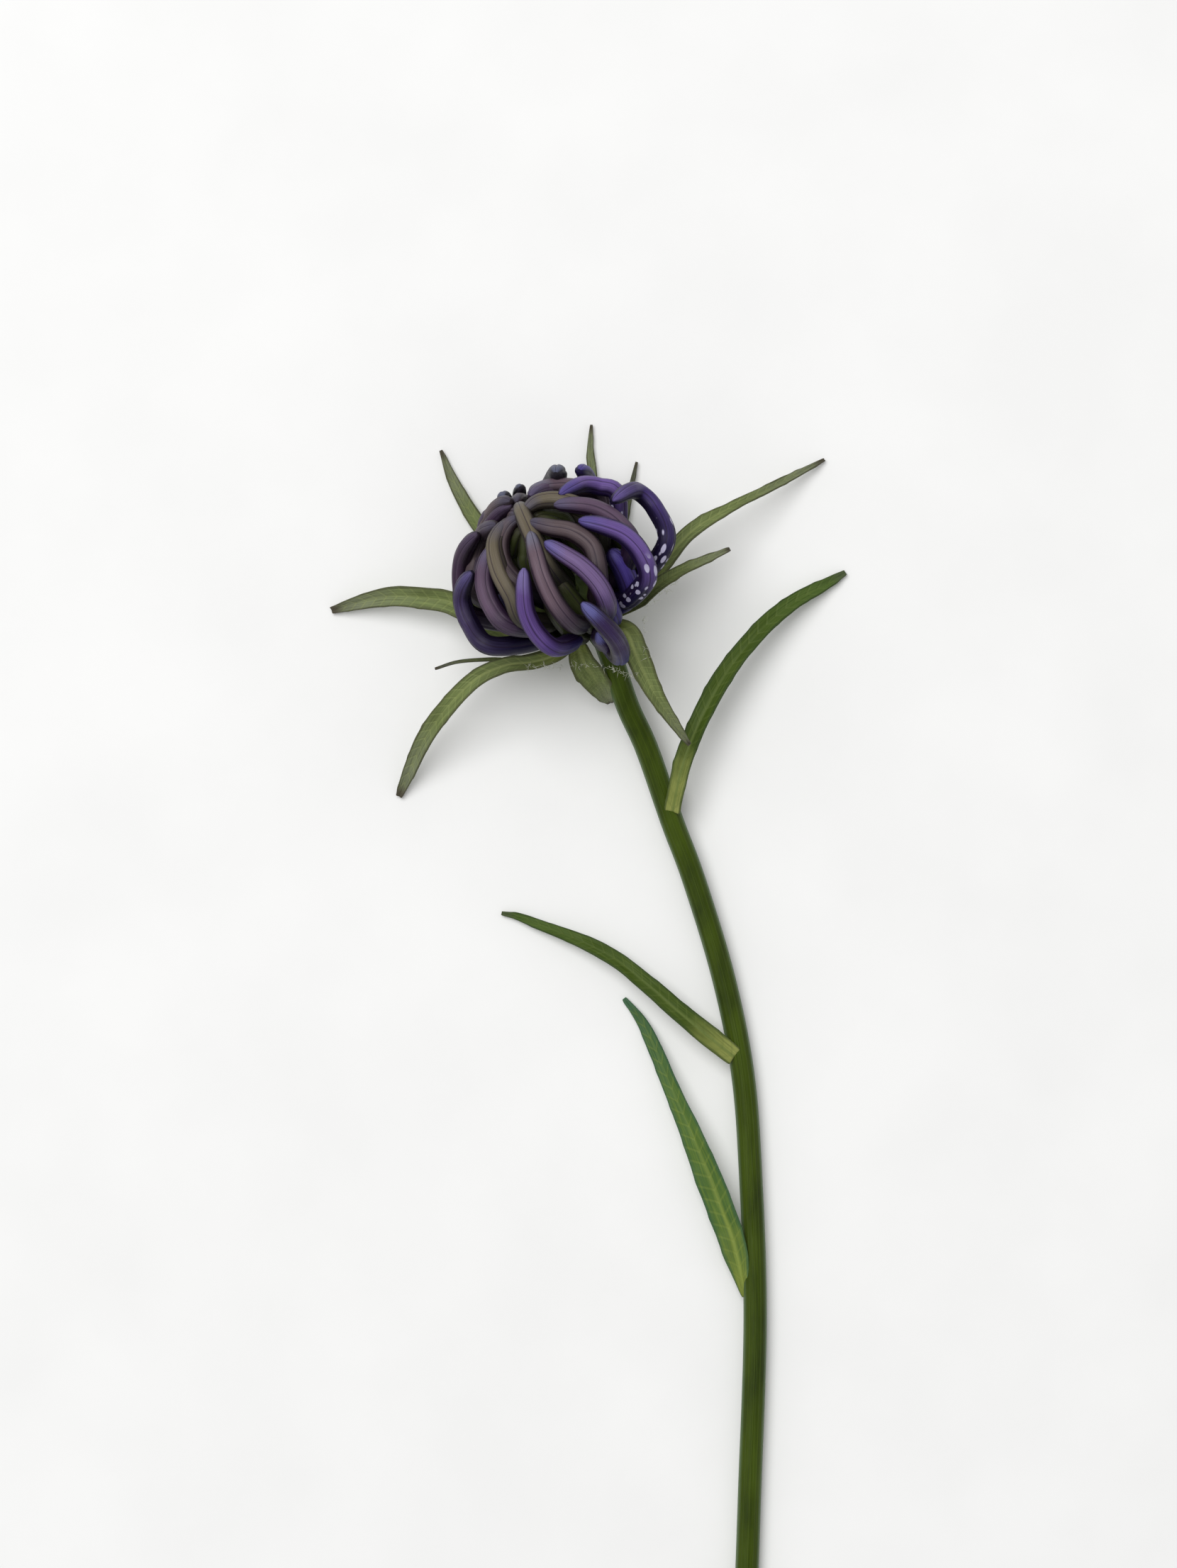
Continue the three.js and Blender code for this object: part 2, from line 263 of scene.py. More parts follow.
def smooth_line(points: Sequence[Sequence[float]], count: int = PATH_POINTS) -> list[Vector]:
    """Runs a smooth line through points and divides it evenly by length.

    Args:
        points: The points to pass through.
        count: How many points to return.

    Returns:
        Evenly spaced points on the line.
    """
    knots = [Vector(point) for point in points]
    knots.insert(0, knots[0] * 2 - knots[1])
    knots.append(knots[-1] * 2 - knots[-2])
    fine = []
    per_span = 24
    for first, second, third, fourth in zip(knots, knots[1:], knots[2:], knots[3:]):
        leave = (third - first) / 2
        arrive = (fourth - second) / 2
        for step in range(per_span):
            u = step / per_span
            fine.append(
                second * (2 * u**3 - 3 * u**2 + 1)
                + third * (3 * u**2 - 2 * u**3)
                + leave * (u**3 - 2 * u**2 + u)
                + arrive * (u**3 - u**2)
            )
    fine.append(knots[-2])
    runs = np.cumsum([0.0] + [(b - a).length for a, b in zip(fine, fine[1:])])
    table = np.array(fine)
    wanted = np.linspace(0.0, runs[-1], count)
    columns = [np.interp(wanted, runs, table[:, axis]) for axis in range(3)]
    return [Vector(row) for row in zip(*columns)]


def length_of(line: Sequence[Vector]) -> float:
    """Adds up the length of a line of points."""
    return sum((b - a).length for a, b in zip(line, line[1:]))


class Twist(Enum):
    """How a bent piece holds itself round its line."""

    LEVEL = "Z_UP"
    FREE = "MINIMUM"


def bend(piece: Object, line: Sequence[Vector], twist: Twist, up: Sequence[float] | None = None) -> None:
    """Bends a piece that lies along +X from the origin onto a line.

    Args:
        piece: The straight piece, as long as the line.
        line: Evenly spaced points of the line.
        twist: How the piece holds itself round the line.
        up: Where the piece's upper side looks, for a level piece that leans.
    """
    curve = bpy.data.curves.new("way", "CURVE")
    curve.dimensions = "3D"
    curve.twist_mode = twist.value
    spline = curve.splines.new("POLY")
    spline.points.add(len(line) - 1)
    for index, (knot, point) in enumerate(zip(spline.points, line)):
        knot.co = (*point, 1.0)
        if up is not None:
            ahead = line[min(index + 1, len(line) - 1)] - line[max(index - 1, 0)]
            knot.tilt = lean(ahead.normalized(), Vector(up))
    way = bpy.data.objects.new("way", curve)
    bpy.context.scene.collection.objects.link(way)
    apply_modifier(piece, "CURVE", object=way, deform_axis="POS_X")
    bpy.data.objects.remove(way)
    bpy.data.curves.remove(curve)


def lean(ahead: Vector, up: Vector) -> float:
    """Gives the turn round a line that brings its level upper side to face another way.

    Args:
        ahead: The line's direction.
        up: Where the upper side should look.

    Returns:
        The turn in radians.
    """
    left = Vector((0, 0, 1)).cross(ahead).normalized()
    level = ahead.cross(left)
    wanted = (up - ahead * up.dot(ahead)).normalized()
    return -math.atan2(wanted.dot(left), wanted.dot(level))


def lay_rule(piece: Object, rule: Callable[[Vector], Point], name: str = "straight") -> None:
    """Writes a value made from each vertex's place, so that patterns keep to the unbent piece.

    Args:
        piece: The piece while it is still straight.
        rule: Makes the three values from a place.
        name: The name of the attribute.
    """
    values = [value for vert in piece.data.vertices for value in rule(vert.co)]
    layer = piece.data.attributes.get(name)
    if layer is None:
        layer = piece.data.attributes.new(name, "FLOAT_VECTOR", "POINT")
    layer.data.foreach_set("vector", values)


def round_rule(length: float) -> Callable[[Vector], Point]:
    """Makes the rule for a rod: share of its length, then the direction round it."""

    def rule(place: Vector) -> Point:
        """Gives the share along the rod and the direction round it."""
        reach = math.hypot(place.y, place.z)
        if reach < 1e-6:
            return place.x / length, 0.0, 0.0
        return place.x / length, place.y / reach, place.z / reach

    return rule


def finish(piece: Object, material: bpy.types.Material, nodes: Sequence[str] = ()) -> None:
    """Brings a piece into the row frame and books it.

    Args:
        piece: The finished piece, in millimetres in the flower's frame.
        material: The piece's finish.
        nodes: The CAD nodes that it stands for.
    """
    take(piece)
    bpy.ops.object.shade_smooth()
    piece.scale = (MM, MM, MM)
    piece.location = ORIGIN * MM
    bpy.ops.object.transform_apply(location=True, rotation=True, scale=True)
    piece.data.materials.clear()
    piece.data.materials.append(material)
    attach(piece, BODY)
    for node in nodes:
        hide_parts(node)
    log.info("%s: %d faces", piece.name, len(piece.data.polygons))


# ---------------------------------------------------------------- finishes
def linear(colour: str) -> tuple[float, float, float, float]:
    """Turns a colour like #8a769f into the linear values that a shader takes.

    Args:
        colour: Six hexadecimal digits after a hash.

    Returns:
        Red, green, blue and 1.
    """
    channels = []
    for start in (1, 3, 5):
        value = int(colour[start:start + 2], 16) / 255
        channels.append(value / 12.92 if value <= 0.04045 else ((value + 0.055) / 1.055) ** 2.4)
    return channels[0], channels[1], channels[2], 1.0


class Board:
    """A material's node tree, with a short call for each step of a finish."""

    def __init__(self, name: str) -> None:
        """Starts an empty material.

        Args:
            name: The material's name.
        """
        self.material = bpy.data.materials.new(name)
        self.material.use_nodes = True
        self.tree = self.material.node_tree
        self.tree.nodes.clear()

    def node(self, kind: str, **settings: object) -> bpy.types.Node:
        """Adds a node.

        Args:
            kind: The node's type.
            settings: Its own settings.

        Returns:
            The node.
        """
        new = self.tree.nodes.new(kind)
        for key, value in settings.items():
            setattr(new, key, value)
        return new

    def feed(self, socket: bpy.types.NodeSocket, value: object) -> None:
        """Links another node's output to a socket, or sets the socket to a constant."""
        if isinstance(value, bpy.types.NodeSocket):
            self.tree.links.new(value, socket)
        elif value is not None:
            socket.default_value = value

    def maths(self, operation: str, first: object, second: object = None) -> bpy.types.NodeSocket:
        """Joins two values by an operation.

        Args:
            operation: Blender's name for it.
            first: A value or an output.
            second: A value or an output, where the operation takes two.

        Returns:
            The result's output.
        """
        new = self.node("ShaderNodeMath", operation=operation)
        self.feed(new.inputs[0], first)
        self.feed(new.inputs[1], second)
        return new.outputs[0]

    def attribute(self, name: str = "straight") -> list[bpy.types.NodeSocket]:
        """Reads a vector attribute.

        Args:
            name: The attribute's name.

        Returns:
            The vector, then its three values.
        """
        read = self.node("ShaderNodeAttribute", attribute_name=name)
        parts = self.node("ShaderNodeSeparateXYZ")
        self.feed(parts.inputs[0], read.outputs["Vector"])
        return [read.outputs["Vector"], *parts.outputs]

    def stretched(self, vector: bpy.types.NodeSocket, scale: Point) -> bpy.types.NodeSocket:
        """Stretches a pattern's coordinates."""
        new = self.node("ShaderNodeMapping")
        self.feed(new.inputs["Vector"], vector)
        new.inputs["Scale"].default_value = scale
        return new.outputs[0]

    def place(self) -> bpy.types.NodeSocket:
        """Gives the place on the object, in metres."""
        return self.node("ShaderNodeTexCoord").outputs["Object"]

    def noise(self, vector: bpy.types.NodeSocket, scale: float, detail: float = 3.0) -> bpy.types.NodeSocket:
        """Adds cloudy noise.

        Args:
            vector: Its coordinates.
            scale: How fine it is.
            detail: How rough it is.

        Returns:
            The value, round 0.5.
        """
        new = self.node("ShaderNodeTexNoise")
        self.feed(new.inputs["Vector"], vector)
        new.inputs["Scale"].default_value = scale
        new.inputs["Detail"].default_value = detail
        return new.outputs[0]

    def step(
        self, value: bpy.types.NodeSocket, low: float, high: float, start: float = 0.0, end: float = 1.0,
    ) -> bpy.types.NodeSocket:
        """Turns a value smoothly from one level to another.

        Args:
            value: What is read.
            low: Where the change starts.
            high: Where the change ends.
            start: The level below low.
            end: The level above high.

        Returns:
            The level.
        """
        new = self.node("ShaderNodeMapRange", interpolation_type="SMOOTHSTEP")
        for socket, given in zip(new.inputs, (value, low, high, start, end)):
            self.feed(socket, given)
        return new.outputs[0]

    def ramp(self, value: bpy.types.NodeSocket, stops: Stops) -> bpy.types.NodeSocket:
        """Colours a value.

        Args:
            value: What is read.
            stops: Shares with their colours.

        Returns:
            The colour.
        """
        new = self.node("ShaderNodeValToRGB")
        self.feed(new.inputs[0], value)
        elements = new.color_ramp.elements
        while len(elements) < len(stops):
            elements.new(0.5)
        for element, (share, colour) in zip(elements, stops):
            element.position = share
            element.color = linear(colour)
        return new.outputs[0]

    def blend(self, factor: object, first: object, second: object, mode: str = "MIX") -> bpy.types.NodeSocket:
        """Mixes two colours.

        Args:
            factor: How much of the second.
            first: A colour or an output.
            second: A colour or an output.
            mode: How they are mixed.

        Returns:
            The colour.
        """
        new = self.node("ShaderNodeMix", data_type="RGBA", blend_type=mode)
        colours = [socket for socket in new.inputs if socket.type == "RGBA"]
        self.feed(new.inputs[0], factor)
        self.feed(colours[0], first)
        self.feed(colours[1], second)
        return next(socket for socket in new.outputs if socket.type == "RGBA")

    def close(
        self, colour: bpy.types.NodeSocket, roughness: object, relief: bpy.types.NodeSocket, depth: float,
        **constants: float,
    ) -> bpy.types.Material:
        """Ends the tree in one shader.

        Args:
            colour: The skin's colour.
            roughness: A value or an output.
            relief: The height that the bump reads.
            depth: How deep the bump is, in metres.
            constants: Other inputs of the shader, with underscores for spaces.

        Returns:
            The material.
        """
        shader = self.node("ShaderNodeBsdfPrincipled")
        bump = self.node("ShaderNodeBump")
        bump.inputs["Distance"].default_value = depth
        bump.inputs["Strength"].default_value = 1.0
        self.feed(bump.inputs["Height"], relief)
        self.feed(shader.inputs["Base Color"], colour)
        self.feed(shader.inputs["Roughness"], roughness)
        self.feed(shader.inputs["Normal"], bump.outputs[0])
        for key, value in constants.items():
            shader.inputs[key.replace("_", " ")].default_value = value
        out = self.node("ShaderNodeOutputMaterial")
        self.feed(out.inputs[0], shader.outputs[0])
        return self.material


@dataclass(frozen=True)
class FloretSkin:
    """The satin skin of a floret: green ovary, dark lower tube, paler body and its tip, with painted shade
    darkening the flanks that turn away from the sky and out of the globe.
    """

    name: str
    low: str
    body: str
    tip: str
    # The dark tone of the painted shade on the flanks, which also tints the fibre streaks.
    painted_side_light: str
    speckled: bool = False
    ovary: str = "#5d6b36"
    calyx: str = "#6f7d45"
    roughness: float = 0.42

    def material(self) -> bpy.types.Material:
        """Builds the finish.

        Returns:
            The material.
        """
        board = Board(f"skin_{self.name}")
        straight, along, across, through = board.attribute()
        _, outwards, _, _ = board.attribute("outward")
        cloud = board.noise(board.place(), 700.0)
        wavering = board.maths("ADD", along, board.maths("MULTIPLY", board.maths("SUBTRACT", cloud, 0.5), 0.12))
        colour = board.ramp(wavering, (
            (0.0, self.ovary), (0.1, self.calyx), (0.15, self.low), (0.38, self.low), (0.62, self.body),
            (0.84, self.body), (0.95, self.tip),
        ))
        # Painted shade: the flanks that turn away from the sky and out of the globe are darkened towards the shade
        # tone.
        painted_side_light = board.step(outwards, 0.98, 0.3)
        tube = board.step(along, 0.12, 0.2)
        colour = board.blend(board.maths("MULTIPLY", painted_side_light, tube), colour, linear(self.painted_side_light))
        fibres = board.noise(board.stretched(straight, (5.0, 16.0, 16.0)), 1.0, 4.0)
        # The same dark tone also tints the lengthwise fibre streaks.
        colour = board.blend(board.step(fibres, 0.35, 0.7, 0.0, 0.34), colour, linear(self.painted_side_light))
        colour = board.blend(board.step(fibres, 0.5, 0.25, 0.0, 0.2), colour, linear(self.tip))
        turn = board.maths("ARCTAN2", through, across)
        lobes = board.maths("COSINE", board.maths("MULTIPLY", turn, 5.0))
        seam = board.maths("MULTIPLY", board.step(lobes, 0.9, 0.995), board.step(along, 0.2, 0.3))
        colour = board.blend(board.maths("MULTIPLY", seam, 0.62), colour, linear("#1f1226"))
        relief = board.maths("ADD", board.maths("MULTIPLY", fibres, 0.6), board.maths("MULTIPLY", cloud, 0.5))
        if self.speckled:
            colour = self.speckle(board, straight, along, colour)
        gloss = board.step(cloud, 0.3, 0.7, self.roughness - 0.06, self.roughness + 0.1)
        return board.close(
            colour, gloss, relief, 0.00006, Specular_IOR_Level=0.2,
        )

    def speckle(
        self, board: Board, straight: bpy.types.NodeSocket, along: bpy.types.NodeSocket,
        colour: bpy.types.NodeSocket,
    ) -> bpy.types.NodeSocket:
        """Scatters pale dots over the lower tube.

        Args:
            board: The finish being built.
            straight: The coordinates of the straight floret.
            along: The share of its length.
            colour: The colour so far.

        Returns:
            The colour with its dots.
        """
        cells = board.node("ShaderNodeTexVoronoi", feature="F1")
        board.feed(cells.inputs["Vector"], board.stretched(straight, (17.0, 1.25, 1.25)))
        cells.inputs["Scale"].default_value = 1.0
        dots = board.step(cells.outputs["Distance"], 0.36, 0.27)
        reach = board.maths("MULTIPLY", board.step(along, 0.14, 0.2), board.step(along, 0.62, 0.5))
        return board.blend(board.maths("MULTIPLY", dots, reach), colour, linear("#b9b4cf"))


@dataclass(frozen=True)
class BladeSkin:
    """The skin of a bract or leaf: pale midrib, netted veins, a dark rim and its tip."""

    name: str
    foot: str
    middle: str
    far: str
    rim: str
    midrib: str
    end: str = "#4f4a3c"
    roughness: float = 0.5

    def material(self) -> bpy.types.Material:
        """Builds the finish.

        Returns:
            The material.
        """
        board = Board(f"skin_{self.name}")
        straight, along, across, _ = board.attribute()
        cloud = board.noise(board.place(), 420.0, 4.0)
        wavering = board.maths("ADD", along, board.maths("MULTIPLY", board.maths("SUBTRACT", cloud, 0.5), 0.25))
        colour = board.ramp(wavering, ((0.0, self.foot), (0.25, self.middle), (0.62, self.middle), (0.9, self.far)))
        side = board.maths("ABSOLUTE", across)
        fibres = board.noise(board.stretched(straight, (9.0, 7.0, 1.0)), 1.0, 5.0)
        colour = board.blend(board.step(fibres, 0.42, 0.72, 0.0, 0.45), colour, linear(self.rim))
        colour = board.blend(board.step(fibres, 0.5, 0.25, 0.0, 0.3), colour, linear(self.midrib))
        slant = board.maths("SUBTRACT", board.maths("MULTIPLY", along, 150.0), board.maths("MULTIPLY", side, 5.0))
        veins = board.step(board.maths("SINE", slant), 0.6, 1.0, 0.0, 0.22)
        colour = board.blend(veins, colour, linear(self.midrib))
        rib = board.maths("MULTIPLY", board.step(side, 0.3, 0.0), board.step(along, 0.7, 0.1, 0.12, 0.75))
        colour = board.blend(rib, colour, linear(self.midrib))
        rough_side = board.maths("ADD", side, board.maths("MULTIPLY", board.maths("SUBTRACT", cloud, 0.5), 0.2))
        colour = board.blend(board.step(rough_side, 0.72, 0.97, 0.0, 0.75), colour, linear(self.rim))
        colour = board.blend(board.step(along, 0.93, 0.99), colour, linear(self.end))
        relief = board.maths("ADD", board.maths("MULTIPLY", veins, -1.2), board.maths("MULTIPLY", fibres, 0.8))
        gloss = board.step(cloud, 0.3, 0.7, self.roughness - 0.08, self.roughness + 0.1)
        return board.close(colour, gloss, relief, 0.00008, Specular_IOR_Level=0.18)


@dataclass(frozen=True)
class StemSkin:
    """The skin of the stem: olive green with fine ribs and a painted pale bluish sheen along both sides."""

    name: str = "stem"
    green: str = "#384803"
    shade: str = "#263402"
    # The pale tone of the painted sheen along both sides of the stem.
    painted_sheen: str = "#5d7350"
    roughness: float = 0.45

    def material(self) -> bpy.types.Material:
        """Builds the finish.

        Returns:
            The material.
        """
        board = Board(f"skin_{self.name}")
        straight, along, across, through = board.attribute()
        cloud = board.noise(board.stretched(board.place(), (1.0, 0.3, 1.0)), 500.0, 4.0)
        fibres = board.noise(board.stretched(straight, (14.0, 7.0, 7.0)), 1.0, 5.0)
        colour = board.ramp(cloud, ((0.3, self.shade), (0.5, self.green), (0.75, "#44560e")))
        colour = board.blend(board.step(fibres, 0.45, 0.75, 0.0, 0.5), colour, linear(self.shade))
        turn = board.maths("ARCTAN2", through, across)
        ribs = board.step(board.maths("COSINE", board.maths("MULTIPLY", turn, 12.0)), 0.5, 1.0, 0.0, 0.25)
        colour = board.blend(ribs, colour, linear("#4a5c18"))
        # Painted sheen: the two sides of the stem that face sideways across the table are lightened towards the
        # pale tone.
        painted_side_light = board.step(board.maths("ABSOLUTE", across), 0.72, 0.98, 0.0, 0.75)
        colour = board.blend(painted_side_light, colour, linear(self.painted_sheen))
        relief = board.maths("ADD", board.maths("MULTIPLY", ribs, 2.0), fibres)
        gloss = board.step(fibres, 0.3, 0.7, self.roughness - 0.08, self.roughness + 0.08)
        return board.close(colour, gloss, relief, 0.00007, Specular_IOR_Level=0.15)


@dataclass(frozen=True)
class Plain:
    """A cloudy finish of two tones for small things and the table."""

    name: str
    first: str
    second: str
    grain: float
    roughness: float = 0.6
    depth: float = 0.00003

    def material(self) -> bpy.types.Material:
        """Builds the finish.

        Returns:
            The material.
        """
        board = Board(f"skin_{self.name}")
        cloud = board.noise(board.place(), self.grain, 4.0)
        colour = board.ramp(cloud, ((0.35, self.first), (0.65, self.second)))
        gloss = board.step(cloud, 0.3, 0.7, self.roughness - 0.05, self.roughness + 0.05)
        return board.close(colour, gloss, cloud, self.depth)


class Tone(Enum):
    """The florets' finishes, from bright violet outside to olive and brown within."""

    # Each finish gives the lower tube, the body, the tip and the dark tone of the painted flank shade.
    PURPLE = FloretSkin("floret_purple", "#100a33", "#6e5698", "#5b4f92", "#1c1033", speckled=True)
    HOOK = FloretSkin("floret_hook", "#0d072b", "#3f2f68", "#655492", "#100824", speckled=True)
    VIOLET = FloretSkin("floret_violet", "#1e1646", "#78628e", "#67609c", "#2c1a36")
    LILAC = FloretSkin("floret_lilac", "#1f1b54", "#5c4482", "#75689e", "#221236")
    LOW = FloretSkin("floret_low", "#2c2a68", "#33224c", "#63629c", "#16091c")
    INDIGO = FloretSkin("floret_indigo", "#0f0b2b", "#372b4e", "#544b7a", "#110a20")
    MAROON = FloretSkin("floret_maroon", "#140c20", "#3e2a42", "#4d4057", "#180a1a")
    MAUVE = FloretSkin("floret_mauve", "#181429", "#614d62", "#5c5470", "#26162b")
    BROWN = FloretSkin("floret_brown", "#1c1922", "#5e5053", "#4c4758", "#281d22")
    ROSE = FloretSkin("floret_rose", "#1b1828", "#6b5863", "#727082", "#2b2029")
    TAN = FloretSkin("floret_tan", "#26261e", "#6a6150", "#5b5660", "#2f2a24")
    SLATE = FloretSkin("floret_slate", "#211f27", "#4a4450", "#5c6078", "#221e26")
    BLUE = FloretSkin("floret_blue", "#1a1450", "#4c3d8c", "#564c90", "#1b123c")
    OLIVE = FloretSkin("floret_olive", "#232910", "#343a1c", "#3c3a28", "#181b0a")


BRACT_SKIN = BladeSkin("bract", "#79833a", "#707d4a", "#767c62", "#43452c", "#9aa365")
DARK_BRACT_SKIN = BladeSkin("bract_dark", "#5f6a30", "#5b643c", "#54564a", "#3a3b2a", "#7c8550")
LEAF_SKIN = BladeSkin("leaf", "#929852", "#435618", "#4c6228", "#2e401a", "#66753a", end="#4c5838")
FAR_LEAF_SKIN = BladeSkin("leaf_far", "#7f8a3a", "#557030", "#45643c", "#33563a", "#8a9846", end="#466a4c")


# ---------------------------------------------------------------- florets
@dataclass
class FloretMould:
    """The straight floret that all the others are copied from: ovary, calyx and closed horn-like tube."""

    length: float = 10.0
    sides: int = 40
    rings: int = 56
    lobes: int = 5
    seam_pull: float = 0.9
    seam_shoulder: float = 0.965
    ovary_end: float = 0.09
    rib_swell: float = 1.12
    tooth_place: float = 0.108
    tooth_length: float = 0.62
    profile: Sequence[tuple[float, float]] = (
        (0.0, 0.5), (0.02, 0.62), (0.05, 0.7), (0.085, 0.66), (0.11, 0.56), (0.13, 0.7), (0.17, 0.98),
        (0.22, 1.1), (0.3, 1.06), (0.42, 1.02), (0.58, 1.03), (0.7, 1.02), (0.8, 0.97), (0.88, 0.9),
        (0.93, 0.8), (0.965, 0.65), (0.985, 0.46), (1.0, 0.2),
    )

    def build(self) -> Object:
        """Models the straight floret.

        Returns:
            The model, along +X from the origin, one millimetre in radius.
        """
        deselect_all()
        bpy.ops.mesh.primitive_cylinder_add(
            vertices=self.sides, radius=1.0, depth=self.length, end_fill_type="TRIFAN",
            location=(self.length / 2, 0, 0), rotation=(0, math.pi / 2, 0),
        )
        model = added("floret_mould")
        open_mesh(model)
        self.divide(model)
        self.swell(model)
        self.press_seams(model)
        self.raise_ribs(model)
        self.add_teeth(model)
        close_mesh(model)
        lay_rule(model, round_rule(self.length))
        return model

    def divide(self, model: Object) -> None:
        """Cuts the long edges into rings."""
        mesh = bmesh.from_edit_mesh(model.data)
        for edge in mesh.edges:
            first, second = edge.verts
            edge.select = abs(first.co.x - second.co.x) > self.length / 2
        bmesh.update_edit_mesh(model.data)
        bpy.ops.mesh.subdivide(number_cuts=self.rings - 1)

    def swell(self, model: Object) -> None:
        """Gives each ring its radius from the profile."""
        for ring in range(self.rings + 1):
            x = self.length * ring / self.rings
            pick(model, lambda place: abs(place.x - x) < 1e-3)
            share = ring / self.rings
            size = profile_at(self.profile, share)
            scale_picked((1.0, size, size), (x, 0, 0))

    def angle(self, place: Vector) -> float:
        """Gives the angle from the nearest seam, in radians."""
        step = math.tau / self.lobes
        turn = math.atan2(place.z, place.y) % step
        return min(turn, step - turn)

    def press_seams(self, model: Object) -> None:
        """Presses the lengthwise grooves between the lobes into the tube."""
        side = math.tau / self.sides
        tube = self.length * 0.16
        end = self.length * 0.985
        pick(model, lambda place: tube < place.x < end and self.angle(place) < side * 0.4)
        scale_picked((1.0, self.seam_pull, self.seam_pull), (0, 0, 0))
        pick(model, lambda place: tube < place.x < end and side * 0.6 < self.angle(place) < side * 1.4)
        scale_picked((1.0, self.seam_shoulder, self.seam_shoulder), (0, 0, 0))

    def raise_ribs(self, model: Object) -> None:
        """Raises ten ribs on the ovary."""
        step = math.tau / (self.lobes * 2)
        end = self.length * self.ovary_end

        def on_rib(place: Vector) -> bool:
            """Says whether a place lies on a rib."""
            turn = math.atan2(place.z, place.y) % step
            return place.x < end and min(turn, step - turn) < 0.01 and math.hypot(place.y, place.z) > 0.1

        pick(model, on_rib)
        scale_picked((1.0, self.rib_swell, self.rib_swell), (0, 0, 0))

    def add_teeth(self, model: Object) -> None:
        """Draws five pointed calyx teeth out of the neck and lays them along the tube."""
        half = self.length / self.rings / 2
        here = self.length * self.tooth_place
        for lobe in range(self.lobes):
            turn = math.tau * (lobe + 0.5) / self.lobes
            out = Vector((0, math.cos(turn), math.sin(turn)))
            middle = pick_faces(model, lambda centre, _: abs(centre.x - here) < half and (
                Vector((0, centre.y, centre.z)).normalized().dot(out) > math.cos(math.tau / self.sides * 1.2)
            ))
            steps = ((0.12, 0.3, 0.8), (0.3, 0.22, 0.55), (0.3, 0.1, 0.1))
            for ahead, sideways, size in steps:
                bpy.ops.mesh.extrude_region_move()
                stride = Vector((ahead, 0, 0)) + out * sideways
                stride *= self.tooth_length
                move_picked(stride)
                middle += stride
                scale_picked((size, size, size), middle)


@dataclass(frozen=True)
class FloretRow:
    """One floret's course over the dome, its girth and its finish."""

    name: str
    foot_azimuth: float
    tip_azimuth: float
    bow: float
    ring: float
    low: float
    tip: float
    tone: Tone
    girth: float = 1.0


OUTER_FLORETS = (
    FloretRow("front_low", 0, -1, 4, 1.12, -56, 16, Tone.LOW, 1.06),
    FloretRow("front", -27, -25, -7, 1.02, -10, 48, Tone.LILAC, 1.02),
    FloretRow("front_right", 11, 2, 7, 0.94, -3, 56, Tone.VIOLET, 1.06),
    FloretRow("right", 39, 39, 9, 1.02, -11, 51, Tone.PURPLE, 1.06),
    FloretRow("right_hook", 60, 65, 27, 1.12, -8, 39, Tone.HOOK, 0.98),
    FloretRow("right_back", 92, 82, 17, 0.95, 20, 65, Tone.PURPLE, 0.96),
    FloretRow("left", -66, -82, -17, 1.05, -3, 46, Tone.INDIGO, 1.04),
    FloretRow("left_back", -106, -116, -10, 1.03, -3, 60, Tone.MAROON, 1.04),
    FloretRow("back_a", 140, 122, 2, 1.1, 5, 41, Tone.BLUE, 0.98),
    FloretRow("back_b", 170, 132, 0, 1.08, 5, 52, Tone.SLATE, 1.2),
    FloretRow("back_c", 185, 168, 0, 1.04, 2, 51, Tone.SLATE, 0.84),
    FloretRow("back_d", -176, -176, 0, 1.05, 10, 54, Tone.SLATE, 1.0),
    FloretRow("back_e", -150, -158, 0, 1.0, 0, 52, Tone.MAROON),
    FloretRow("back_f", -125, -130, 0, 1.0, 0, 40, Tone.INDIGO),
)
MIDDLE_FLORETS = (
    FloretRow("mid_front", -12, -7, -6, 0.91, -3, 68, Tone.ROSE, 1.04),
    FloretRow("mid_front_right", 16, 2, 23, 0.85, 12, 76, Tone.BROWN, 1.06),
    FloretRow("mid_left", -53, -80, -8, 0.88, 7, 61, Tone.MAUVE, 1.08),
    FloretRow("mid_left_front", -45, -112, 22, 0.82, 8, 77, Tone.TAN, 1.08),
    FloretRow("mid_left_back", -100, -117, -24, 0.87, 12, 70, Tone.BROWN, 1.06),
    FloretRow("mid_right", 50, 60, 9, 0.91, 7, 68, Tone.MAUVE, 1.04),
    FloretRow("mid_right_back", 114, 156, -1, 0.87, 15, 60, Tone.ROSE, 1.04),
    FloretRow("mid_back_a", 135, 150, 0, 0.82, 15, 68, Tone.MAUVE),
    FloretRow("mid_back_b", 170, 176, 0, 0.82, 15, 68, Tone.BROWN),
    FloretRow("mid_back_c", -152, -176, 6, 0.96, 17, 72, Tone.BROWN),
    FloretRow("mid_back_d", -108, -172, 0, 0.84, 15, 70, Tone.MAROON),
)
INNER_FLORETS = (
    FloretRow("inner_right", 60, 130, -12, 0.78, 30, 88, Tone.TAN),
    FloretRow("inner_front", -8, -4, -2, 0.74, 34, 112, Tone.TAN),
    FloretRow("inner_left", -40, -120, 0, 0.7, 30, 88, Tone.BROWN),
    FloretRow("inner_back_a", 120, 140, 0, 0.6, 35, 84, Tone.TAN),
    FloretRow("inner_back_b", -165, -170, 0, 0.6, 35, 84, Tone.BROWN),
    FloretRow("inner_back_c", -105, -130, 0, 0.64, 35, 78, Tone.TAN),
)
CORE_COUNT = 7
CORE_FLORETS = tuple(
    FloretRow(f"core_{index + 1}", 360 / CORE_COUNT * index, 360 / CORE_COUNT * index + 20, 0, 0.4, 35, 80,
              Tone.OLIVE, 0.86)
    for index in range(CORE_COUNT)
)


